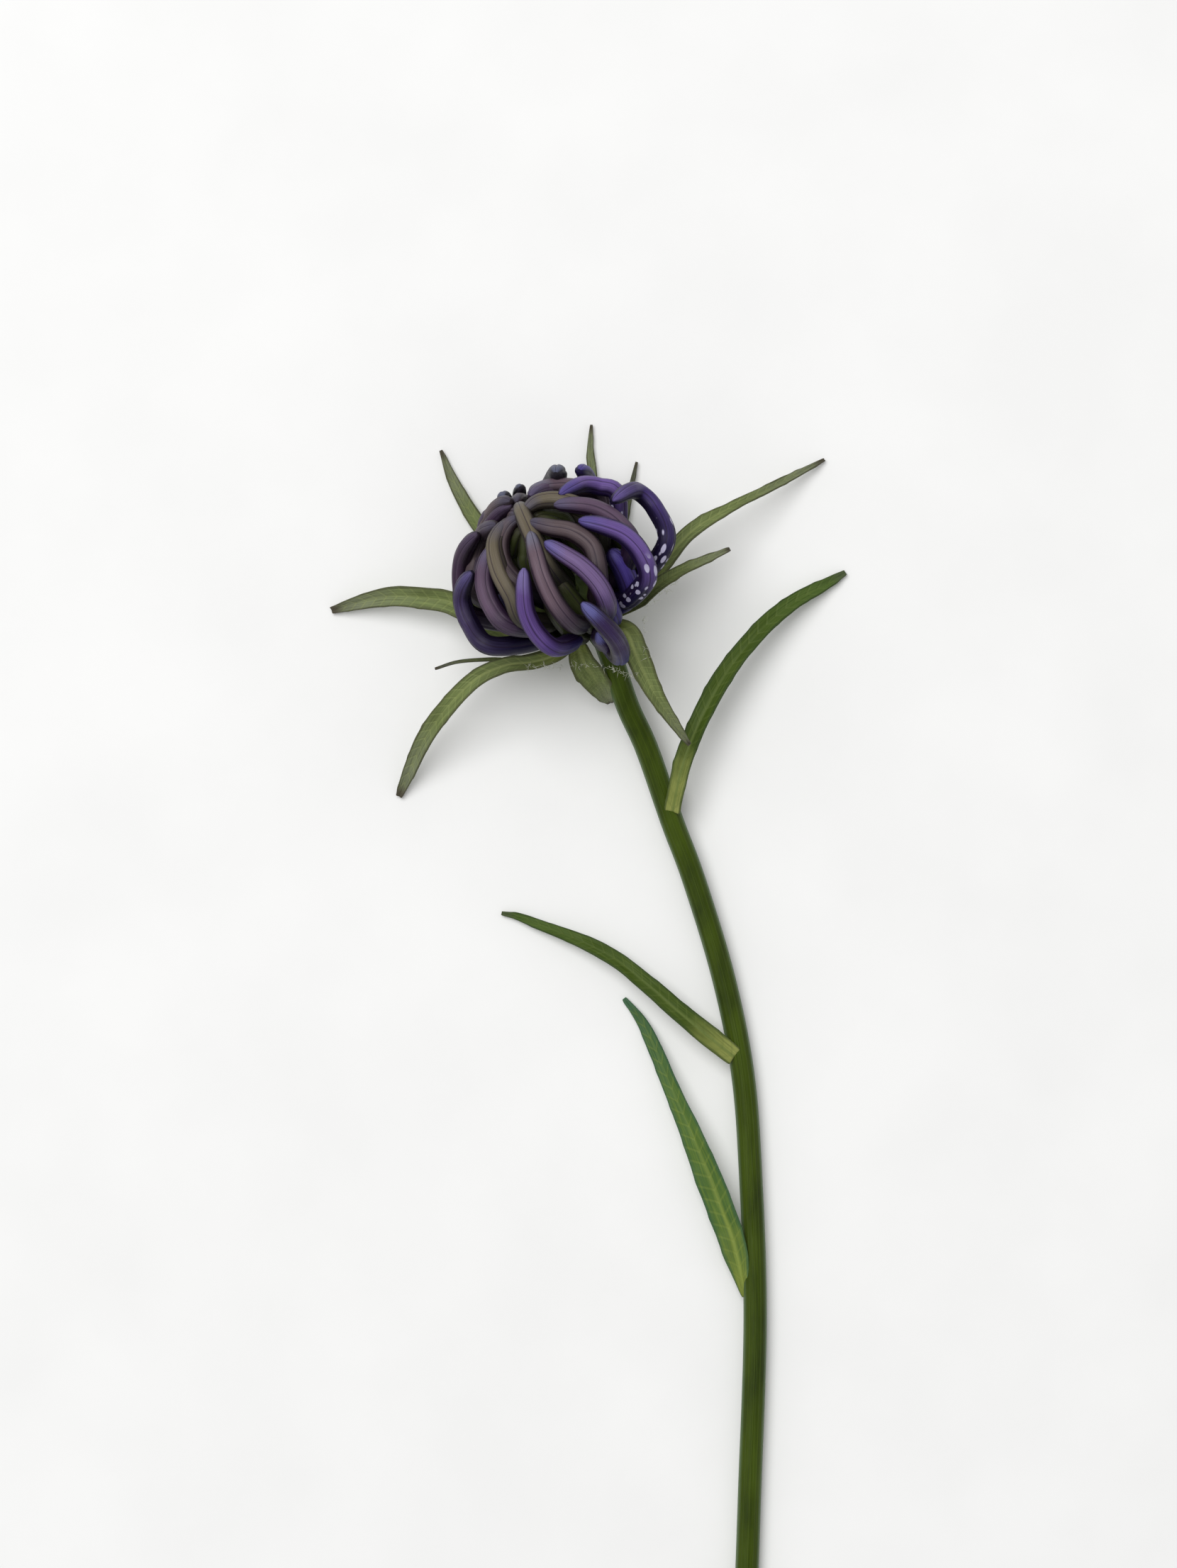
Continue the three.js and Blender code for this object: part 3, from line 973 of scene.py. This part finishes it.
# Short young florets that fill the globe low down between the long ones.
YOUNG_FLORETS = (
    FloretRow("young_front", -4, -8, 0, 0.6, -30, 22, Tone.OLIVE, 1.05),
    FloretRow("young_front_right", 16, 20, 0, 0.66, -34, 8, Tone.BLUE, 1.15),
    FloretRow("young_front_left", -24, -26, 0, 0.62, -34, 14, Tone.OLIVE, 1.05),
    FloretRow("young_right", 44, 48, 0, 0.7, -30, 14, Tone.BLUE, 1.2),
    FloretRow("young_right_far", 66, 70, 0, 0.68, -26, 20, Tone.OLIVE, 1.05),
    FloretRow("young_left", -50, -54, 0, 0.66, -32, 12, Tone.OLIVE, 1.05),
    FloretRow("young_left_far", -80, -84, 0, 0.66, -26, 18, Tone.INDIGO, 1.0),
    FloretRow("young_under", -2, -4, 0, 0.8, -52, -24, Tone.LOW, 1.15),
)


@dataclass
class FlowerHead:
    """The globe of curved florets on its receptacle."""

    girth: float = 0.78
    outer_foot: float = 1.3
    middle_foot: float = 2.3
    inner_foot: float = 3.3
    core_foot: float = 4.0
    young_foot: float = 1.8
    # How much the painted flank shade follows the sky rather than the way out of the globe.
    daylight: float = 0.55
    mould: FloretMould = field(default_factory=FloretMould)
    seed: int = 11

    @staticmethod
    def frame() -> Matrix:
        """Gives the place and tilt of the head in the flower's frame."""
        turn = Matrix.Rotation(HEAD_TURN, 4, "Z") @ Matrix.Rotation(-HEAD_TILT, 4, "X")
        return Matrix.Translation(HEAD_BASE) @ turn

    @staticmethod
    def point(azimuth: float, radius: float, height: float) -> Vector:
        """Turns an azimuth in degrees, a radius and a height on the head into the flower's frame."""
        turn = math.radians(azimuth)
        return FlowerHead.frame() @ Vector((radius * math.sin(turn), -radius * math.cos(turn), height))

    def line(self, row: FloretRow, foot: float) -> list[Vector]:
        """Draws a floret's middle line from the receptacle up the dome.

        Args:
            row: The floret.
            foot: The height of its foot on the receptacle.

        Returns:
            Evenly spaced points.
        """
        rise = DOME_RISE * (1 - (1 - row.ring) * INNER_RISE_LOSS)

        def on_dome(share: float) -> Point:
            """Gives azimuth, radius and height at a share of the way up."""
            latitude = math.radians(row.low + (row.tip - row.low) * share)
            azimuth = row.foot_azimuth + (row.tip_azimuth - row.foot_azimuth) * share
            azimuth += row.bow * math.sin(math.pi * share)
            return azimuth, DOME_RADIUS * row.ring * math.cos(latitude), DOME_CENTRE + rise * math.sin(latitude)

        _, knee_radius, knee_height = on_dome(0.0)
        knots = [
            (row.foot_azimuth, FLORET_FOOT_RADIUS, foot),
            (row.foot_azimuth, (FLORET_FOOT_RADIUS + knee_radius) / 2, (foot + knee_height) / 2 - KNEE_SAG),
        ]
        knots += [on_dome(share) for share in SHARES_ON_DOME]
        return smooth_line([self.point(*knot) for knot in knots])

    def mark_outward(self, piece: Object, line: Sequence[Vector]) -> None:
        """Notes on each vertex how far it looks out of the globe and to the sky, for the painted shade on the
        florets' flanks.

        Args:
            piece: The bent floret.
            line: Its middle line.
        """
        heart = self.point(0, 0, DOME_CENTRE)
        sky = Vector((0, 0, 1))
        shares = np.empty(len(piece.data.vertices) * 3)
        piece.data.attributes["straight"].data.foreach_get("vector", shares)
        last = len(line) - 1
        values = []
        for vert, share in zip(piece.data.vertices, shares[::3]):
            index = min(max(int(round(share * last)), 0), last)
            ahead = (line[min(index + 1, last)] - line[max(index - 1, 0)]).normalized()
            out = (line[index] - heart).normalized() * (1 - self.daylight) + sky * self.daylight
            out -= ahead * out.dot(ahead)
            spoke = vert.co - line[index]
            spoke -= ahead * spoke.dot(ahead)
            values += [spoke.normalized().dot(out.normalized()), 0.0, 0.0]
        layer = piece.data.attributes.new("outward", "FLOAT_VECTOR", "POINT")
        layer.data.foreach_set("vector", values)

    def build(self) -> None:
        """Copies, bends and dresses every floret, then adds the receptacle."""
        model = self.mould.build()
        chance = random.Random(self.seed)
        materials = {tone: tone.value.material() for tone in Tone}
        rings = (
            (OUTER_FLORETS, self.outer_foot, "floret_violet"),
            (MIDDLE_FLORETS, self.middle_foot, "floret_mauve"),
            (INNER_FLORETS, self.inner_foot, "floret_olive"),
            (CORE_FLORETS, self.core_foot, "floret_olive"),
            (YOUNG_FLORETS, self.young_foot, "floret_violet"),
        )
        for rows, foot, slot in rings:
            for row in rows:
                line = self.line(row, foot)
                piece = copy_of(model, f"bloom_{row.name}")
                radius = self.girth * row.girth
                piece.rotation_euler = (chance.uniform(0, math.tau), 0, 0)
                piece.scale = (length_of(line) / self.mould.length, radius, radius)
                bpy.ops.object.transform_apply(location=False, rotation=True, scale=True)
                bend(piece, line, Twist.FREE)
                self.mark_outward(piece, line)
                nodes = [] if row in YOUNG_FLORETS else [f"floret_{row.name}"]
                finish(piece, materials[row.tone], nodes)
        bpy.data.objects.remove(model)
        self.receptacle()

    def receptacle(self) -> None:
        """Models the egg-shaped receptacle with its pitted skin."""
        radius, height, sunk = 2.0, 4.4, 0.7
        deselect_all()
        bpy.ops.mesh.primitive_uv_sphere_add(segments=40, ring_count=28, radius=1.0)
        heart = added("receptacle_heart")
        open_mesh(heart)
        pick(heart, lambda place: True)
        scale_picked((radius, radius, (height + sunk) / 2), (0, 0, 0))
        pick(heart, lambda place: place.z > 0)
        scale_picked((0.92, 0.92, 1.0), (0, 0, 0))
        pick(heart, lambda place: math.sin(place.z * 9 + math.atan2(place.y, place.x) * 8) > 0.6)
        scale_picked((0.96, 0.96, 1.0), (0, 0, 0))
        close_mesh(heart)
        heart.location = (0, 0, (height - sunk) / 2)
        bpy.ops.object.transform_apply(location=True, rotation=False, scale=False)
        heart.matrix_world = self.frame()
        bpy.ops.object.transform_apply(location=True, rotation=True, scale=False)
        skin = Plain("receptacle", "#4b5a2b", "#6a7a3c", 900.0, 0.55)
        finish(heart, skin.material(), ["receptacle"])


# ---------------------------------------------------------------- blades
@dataclass(frozen=True)
class Blade:
    """A bract or leaf: its line, half widths, the way its face looks and its finish."""

    node: str
    line: Sequence[Point]
    widths: Sequence[float]
    up: Point
    skin: BladeSkin
    slot: str = "bract_blade"
    teeth: float = 0.06
    fold: float = 15.0
    ripple: float = 0.1
    sheath: float = 0.0


@dataclass
class BladeMaker:
    """Makes each blade from a flat grid: outline, teeth, fold, midrib, ripple, thickness and bend."""

    columns_per_mm: float = 2.4
    rows: int = 8
    thickness: float = 0.2
    seed: int = 5

    def build(self, blade: Blade) -> Object:
        """Models one blade and bends it onto its line.

        Args:
            blade: The blade's sizes.

        Returns:
            The finished piece.
        """
        line = smooth_line(blade.line)
        length = length_of(line)
        columns = round(length * self.columns_per_mm)
        deselect_all()
        bpy.ops.mesh.primitive_grid_add(x_subdivisions=columns, y_subdivisions=self.rows, size=2.0)
        piece = added(f"{blade.node}_blade")
        open_mesh(piece)
        pick(piece, lambda place: True)
        scale_picked((length / 2, 1.0, 1.0), (0, 0, 0))
        move_picked((length / 2, 0, 0))
        bpy.ops.object.mode_set(mode="OBJECT")
        lay_rule(piece, lambda place: (place.x / length, place.y, 0.0))
        open_mesh(piece)
        self.outline(piece, blade, length, columns)
        self.fold(piece, blade, length)
        close_mesh(piece)
        apply_modifier(piece, "SOLIDIFY", thickness=self.thickness, offset=0.0, use_even_offset=False)
        apply_modifier(piece, "SUBSURF", levels=1, render_levels=1)
        bend(piece, line, Twist.LEVEL, blade.up)
        return piece

    def outline(self, piece: Object, blade: Blade, length: float, columns: int) -> None:
        """Gives each column its width, with small uneven teeth along the rim."""
        chance = random.Random(f"{self.seed}{blade.node}")
        for column in range(columns + 1):
            x = length * column / columns
            width = between(blade.widths, column / columns)
            pick(piece, lambda place: abs(place.x - x) < 1e-3)
            scale_picked((1.0, width, 1.0), (x, 0, 0))
            if column % 4 == 2:
                side = 1 if column % 8 == 2 else -1
                grow = 1 + blade.teeth * chance.uniform(0.6, 1.5) / max(width, 0.2)
                pick(piece, lambda place: abs(place.x - x) < 1e-3 and place.y * side > width * 0.9)
                scale_picked((1.0, grow, 1.0), (x, 0, 0))
                move_picked((0.12, 0, 0))

    def fold(self, piece: Object, blade: Blade, length: float) -> None:
        """Raises both halves, sinks the midrib and lets the rim ripple."""
        rise = math.tan(math.radians(blade.fold))
        for side in (1, -1):
            for limit in (0.02, 0.35, 0.6):
                pick(piece, lambda place: place.y * side > limit * 0.8)
                angle = math.atan(rise) * side * 0.6
                bpy.ops.transform.rotate(
                    value=-angle, orient_axis="X", center_override=(0, side * limit * 0.8, 0),
                )
        pick(piece, lambda place: abs(place.y) < 1e-3)
        move_picked((0, 0, -0.07))
        if blade.ripple:
            waves = max(2, round(length / 3.2))
            for wave in range(waves):
                x = length * (wave + 0.5) / waves
                reach = length / waves * 0.3
                side = 1 if wave % 2 else -1
                pick(piece, lambda place: abs(place.x - x) < reach and place.y * side > 0.3)
                move_picked((0, 0, blade.ripple))


BRACTS = (
    Blade("bract_right_long",
          ((2.2, 15.1, 6.9), (3.8, 15.9, 6.9), (5.7, 17.8, 6.7), (8.6, 21.3, 5.9), (12, 23.5, 4.5),
           (15.1, 25.1, 3), (18.1, 26.7, 1.4), (20.3, 27.9, 0.35)),
          (0.6, 0.8, 0.85, 0.75, 0.5, 0.42, 0.35, 0.15), (-0.3, 0.2, 1), BRACT_SKIN),
    Blade("bract_right",
          ((2.3, 14.5, 7.8), (4.2, 15.4, 8.3), (6, 16.9, 8.8), (7.7, 17.95, 9), (9.5, 18.8, 8.7),
           (12, 19.9, 7.9)),
          (0.6, 0.7, 0.66, 0.55, 0.4, 0.18), (-0.3, 0.2, 1), BRACT_SKIN, teeth=0.12),
    Blade("bract_front",
          ((1.2, 13.2, 8.7), (3.1, 12.8, 9.5), (4.1, 10.6, 9.8), (5.4, 7.9, 9.2), (6.9, 5.6, 8),
           (8.6, 3.3, 6.4)),
          (0.7, 1.2, 1.1, 0.8, 0.5, 0.18), (0.3, 0, 1), BRACT_SKIN, teeth=0.1),
    Blade("bract_left_front",
          ((-1.1, 12.4, 7.7), (-2.6, 11, 8), (-4.8, 10.3, 7.7), (-7.2, 10, 7.3), (-9.7, 8.8, 6.5),
           (-12.1, 6.4, 5.2), (-13.9, 4, 3.6), (-15.1, 1.6, 1.9), (-16.3, -1.1, 0.35)),
          (0.6, 0.7, 0.75, 0.8, 0.85, 0.85, 0.8, 0.65, 0.3), (0, 0.2, 1), BRACT_SKIN),
    Blade("bract_left_thin",
          ((-1.6, 12.6, 6.6), (-3.8, 11.2, 6.4), (-6.6, 10.6, 6), (-8.4, 10.6, 5.7), (-11.1, 10.4, 5.4),
           (-13.1, 9.8, 5)),
          (0.3, 0.25, 0.2, 0.18, 0.16, 0.12), (0, 0.2, 1), DARK_BRACT_SKIN, teeth=0.0, ripple=0.0),
    Blade("bract_left",
          ((-1.7, 13.6, 5.6), (-4, 12.6, 4.6), (-6.2, 12.4, 3.8), (-8.5, 13.6, 3.4), (-11.4, 15.4, 3.1),
           (-13.8, 15.9, 2.9), (-16.9, 16.1, 2.2), (-20, 15.5, 1.2), (-22.1, 14.9, 0.35)),
          (0.6, 0.9, 1.05, 1.1, 1.1, 1.05, 0.95, 0.7, 0.3), (0, -0.2, 1), BRACT_SKIN),
    Blade("bract_back_left",
          ((-0.9, 14.7, 4.8), (-3.8, 16.4, 1.9), (-6.5, 19, 0.75), (-9.1, 21.9, 0.55), (-10.4, 23.8, 0.45),
           (-11.6, 26, 0.4), (-12.7, 28.7, 0.35)),
          (0.6, 0.85, 0.9, 0.9, 0.75, 0.55, 0.15), (0, 0, 1), BRACT_SKIN),
    Blade("bract_back",
          ((0.3, 15.4, 4.9), (0, 18.8, 1.9), (0.1, 22.5, 0.75), (0.3, 26.5, 0.45), (0.15, 28.6, 0.4),
           (0.25, 30.9, 0.35)),
          (0.5, 0.6, 0.55, 0.5, 0.4, 0.12), (0, 0, 1), BRACT_SKIN),
    Blade("bract_back_right",
          ((1.3, 15.7, 5.4), (1.9, 18.6, 2.5), (2.8, 21.5, 1.2), (3.3, 23.6, 0.8), (3.7, 25.7, 0.55),
           (4.15, 27.7, 0.4)),
          (0.4, 0.45, 0.4, 0.32, 0.26, 0.12), (0, 0, 1), DARK_BRACT_SKIN),
    Blade("bract_under",
          ((-0.9, 11.9, 6), (-0.4, 10.4, 5.4), (0.5, 9.1, 4.6), (1.3, 7.9, 3.6), (1.9, 6.9, 2.6)),
          (0.9, 1.3, 1.35, 1.05, 0.3), (-0.3, 0, 1), BRACT_SKIN, teeth=0.2),
)

LEAVES = (
    Blade("leaf_upper",
          ((7.2, -2.4, 2.9), (7.55, -0.6, 3.5), (8.05, 1.6, 3.8), (9, 4.2, 4), (10.6, 7.5, 3.9),
           (12.5, 10.5, 3.5), (15.2, 13.6, 2.6), (17.8, 15.7, 1.6), (20.3, 17.1, 0.7), (22.1, 18.2, 0.35)),
          (0.8, 0.85, 0.9, 0.95, 0.95, 0.9, 0.85, 0.8, 0.65, 0.25), (-0.3, 0.1, 1), LEAF_SKIN,
          slot="leaf_blade", teeth=0.08),
    Blade("leaf_middle",
          ((12.5, -23.4, 2.0), (10.6, -21.9, 2.2), (7.8, -19.6, 2.3), (5.4, -17.5, 2.1), (2.4, -15.1, 1.8),
           (-0.6, -13.5, 1.3), (-3.7, -12.3, 0.8), (-6.1, -11.4, 0.5), (-7.5, -11.1, 0.35)),
          (0.95, 1.05, 0.95, 0.87, 0.8, 0.75, 0.6, 0.45, 0.18), (0.1, 0.2, 1), LEAF_SKIN,
          slot="leaf_blade", teeth=0.03),
    Blade("leaf_lower",
          ((13.5, -44, 1.2), (12.6, -39.8, 1.5), (11.6, -36.8, 1.8), (10.4, -33.7, 2.0), (8.9, -30, 2.2),
           (7.3, -26.4, 1.7), (6, -23.3, 1.1), (4.7, -20.6, 0.6), (3.05, -18.4, 0.35)),
          (0.35, 1.2, 1.4, 1.35, 1.15, 0.85, 0.75, 0.6, 0.2), (-0.3, 0, 1), FAR_LEAF_SKIN,
          slot="leaf_blade", teeth=0.04),
)


@dataclass
class Foliage:
    """All the bracts under the head and the leaves on the stem."""

    blades: Sequence[Blade]
    maker: BladeMaker = field(default_factory=BladeMaker)

    def build(self) -> None:
        """Makes and dresses each blade."""
        materials: dict[str, bpy.types.Material] = {}
        for blade in self.blades:
            if blade.skin.name not in materials:
                materials[blade.skin.name] = blade.skin.material()
            piece = self.maker.build(blade)
            finish(piece, materials[blade.skin.name], [blade.node])


@dataclass
class Cilia:
    """Tufts of fine pale hairs on the rims of the bracts, in one mesh."""

    tufts: Sequence[tuple[Point, Point, int]] = (
        ((-5.4, 9.9, 8.5), (-1.8, 9.9, 8.8), 34),
        ((-1.6, 10.1, 8.9), (1.6, 9.9, 8.8), 26),
        ((1.8, 9.7, 9.6), (4.2, 9.1, 10.2), 40),
        ((5.0, 10.2, 10.2), (4.6, 14.2, 9.9), 20),
        ((4.9, 14.8, 8.8), (8.2, 17.6, 9.2), 18),
        ((-8.6, 12.4, 6.4), (-5.8, 11.4, 7.2), 12),
    )
    length: float = 0.55
    width: float = 0.022
    seed: int = 21

    def build(self) -> None:
        """Models one hair, copies it along each rim and joins the copies."""
        deselect_all()
        bpy.ops.mesh.primitive_cone_add(vertices=5, radius1=self.width, radius2=0.0, depth=1.0,
                                        location=(0, 0, 0.5))
        model = added("hair_mould")
        open_mesh(model)
        pick(model, lambda place: place.z > 0.5)
        move_picked((0.3, 0, 0))
        close_mesh(model)
        chance = random.Random(self.seed)
        hairs = []
        for start, end, count in self.tufts:
            for _ in range(count):
                share = chance.random()
                foot = Vector(start).lerp(Vector(end), share)
                foot += Vector((chance.uniform(-0.15, 0.15), chance.uniform(-0.2, 0.2), chance.uniform(-0.3, 0.3)))
                hair = copy_of(model, "hair")
                hair.location = foot
                hair.rotation_euler = (chance.uniform(-1.9, 1.9), chance.uniform(-1.9, 1.9), chance.uniform(0, 6))
                hair.scale = (1.0, 1.0, self.length * chance.uniform(0.4, 1.2))
                hairs.append(hair)
        bpy.data.objects.remove(model)
        deselect_all()
        for hair in hairs:
            hair.select_set(True)
        bpy.context.view_layer.objects.active = hairs[0]
        bpy.ops.object.join()
        tuft = bpy.context.object
        tuft.name = "rim_hairs"
        bpy.ops.object.transform_apply(location=True, rotation=True, scale=True)
        finish(tuft, Plain("hair", "#b9bca6", "#dcdccf", 1500.0, 0.5).material())


# ---------------------------------------------------------------- stem
@dataclass
class Stem:
    """The long bowed stem with its leaf joints, its flared top and its cut end."""

    line: Sequence[Point] = (
        (1.2, 12.7, 6), (2.2, 10, 4.6), (3.4, 6.5, 3.3), (5, 3, 2.5), (7.2, -3.3, 1.85), (9, -8.1, 1.5),
        (11.5, -16.3, 1.2), (13.2, -24.6, 1.1), (13.9, -33.4, 1.08), (14.3, -46, 1.08), (13.8, -61.4, 1.08),
        (13.4, -73, 1.08),
    )
    radius: float = 1.08
    top_swell: float = 0.16
    top_reach: float = 0.08
    joints: Sequence[float] = (0.205, 0.415, 0.655)
    joint_swell: float = 0.07
    joint_reach: float = 0.012
    sides: int = 36
    rings: int = 150

    def radius_at(self, share: float) -> float:
        """Gives the stem's radius at a share of its length."""
        size = self.radius + self.top_swell * max(0.0, 1 - share / self.top_reach)
        for joint in self.joints:
            size += self.joint_swell * math.exp(-((share - joint) / self.joint_reach) ** 2)
        return size

    def build(self) -> None:
        """Models, bends and dresses the stem."""
        line = smooth_line(self.line, PATH_POINTS * 2)
        length = length_of(line)
        deselect_all()
        bpy.ops.mesh.primitive_cylinder_add(
            vertices=self.sides, radius=1.0, depth=length, location=(length / 2, 0, 0),
            rotation=(0, math.pi / 2, 0),
        )
        piece = added("stem_skin")
        open_mesh(piece)
        self.cut_end(piece, length)
        mesh = bmesh.from_edit_mesh(piece.data)
        for edge in mesh.edges:
            first, second = edge.verts
            edge.select = abs(first.co.x - second.co.x) > length / 2
        bmesh.update_edit_mesh(piece.data)
        bpy.ops.mesh.subdivide(number_cuts=self.rings - 1)
        for ring in range(self.rings + 1):
            x = length * ring / self.rings
            size = self.radius_at(ring / self.rings)
            pick(piece, lambda place: abs(place.x - x) < 1e-3)
            scale_picked((1.0, size, size), (x, 0, 0))
        close_mesh(piece)
        lay_rule(piece, round_rule(length))
        bend(piece, line, Twist.LEVEL)
        finish(piece, StemSkin().material(), ["stem"])

    def cut_end(self, piece: Object, length: float) -> None:
        """Insets both end faces and sinks the pith of the cut."""
        for end, sunk in ((length, -0.12), (0.0, 0.0)):
            pick_faces(piece, lambda centre, _: abs(centre.x - end) < 1e-3)
            bpy.ops.mesh.inset(thickness=0.16)
            bpy.ops.mesh.inset(thickness=0.12)
            move_picked((sunk, 0, 0))
            bpy.ops.mesh.inset(thickness=0.4)
            bpy.ops.mesh.poke()


# ---------------------------------------------------------------- studio
@dataclass
class Studio:
    """A plain pale table, soft lights and the camera that looks straight down."""

    distance: float = 0.4977
    aim_height: float = 0.008
    lens: float = 135.0
    sensor: float = 36.0
    key_power: float = 6.0
    key_size: float = 0.7
    key_place: Point = (-0.25, 0.3, 0.85)
    sky_strength: float = 0.46
    table_size: float = 4.0

    def build(self) -> None:
        """Sets everything up."""
        self.camera()
        self.lights()
        self.table()

    def camera(self) -> None:
        """Hangs the camera above the flower."""
        lens = bpy.data.cameras.new("camera")
        lens.sensor_fit = "VERTICAL"
        lens.sensor_height = self.sensor
        lens.lens = self.lens
        lens.clip_start = 0.01
        camera = bpy.data.objects.new("camera", lens)
        camera.location = (ORIGIN.x * MM, ORIGIN.y * MM, self.distance + self.aim_height + ORIGIN.z * MM)
        bpy.context.scene.collection.objects.link(camera)
        bpy.context.scene.camera = camera

    def lights(self) -> None:
        """Adds one large soft lamp and an even sky."""
        lamp = bpy.data.lights.new("key", "AREA")
        lamp.shape = "DISK"
        lamp.size = self.key_size
        lamp.energy = self.key_power
        key = bpy.data.objects.new("key", lamp)
        key.location = self.key_place
        key.rotation_euler = (-Vector(key.location)).to_track_quat("-Z", "Y").to_euler()
        bpy.context.scene.collection.objects.link(key)
        world = bpy.data.worlds.new("sky")
        world.use_nodes = True
        sky = world.node_tree.nodes["Background"]
        sky.inputs["Color"].default_value = (1.0, 1.0, 1.0, 1.0)
        sky.inputs["Strength"].default_value = self.sky_strength
        bpy.context.scene.world = world
        bpy.context.scene.view_settings.view_transform = "Standard"

    def table(self) -> None:
        """Lays the pale table under the flower."""
        deselect_all()
        bpy.ops.mesh.primitive_grid_add(x_subdivisions=8, y_subdivisions=8, size=self.table_size)
        top = added("table")
        top.data.materials.append(Plain("table", "#f3f3f2", "#f7f7f6", 60.0, 0.8, 0.00001).material())


def main() -> None:
    """Builds the whole picture piece by piece."""
    logging.basicConfig(level=logging.INFO, format="%(name)s: %(message)s")
    log.info("origin of the flower in millimetres: %s", tuple(round(value, 3) for value in ORIGIN))
    Studio().build()
    Stem().build()
    FlowerHead().build()
    Foliage(BRACTS).build()
    Foliage(LEAVES).build()
    Cilia().build()


if __name__ == "__main__":
    main()
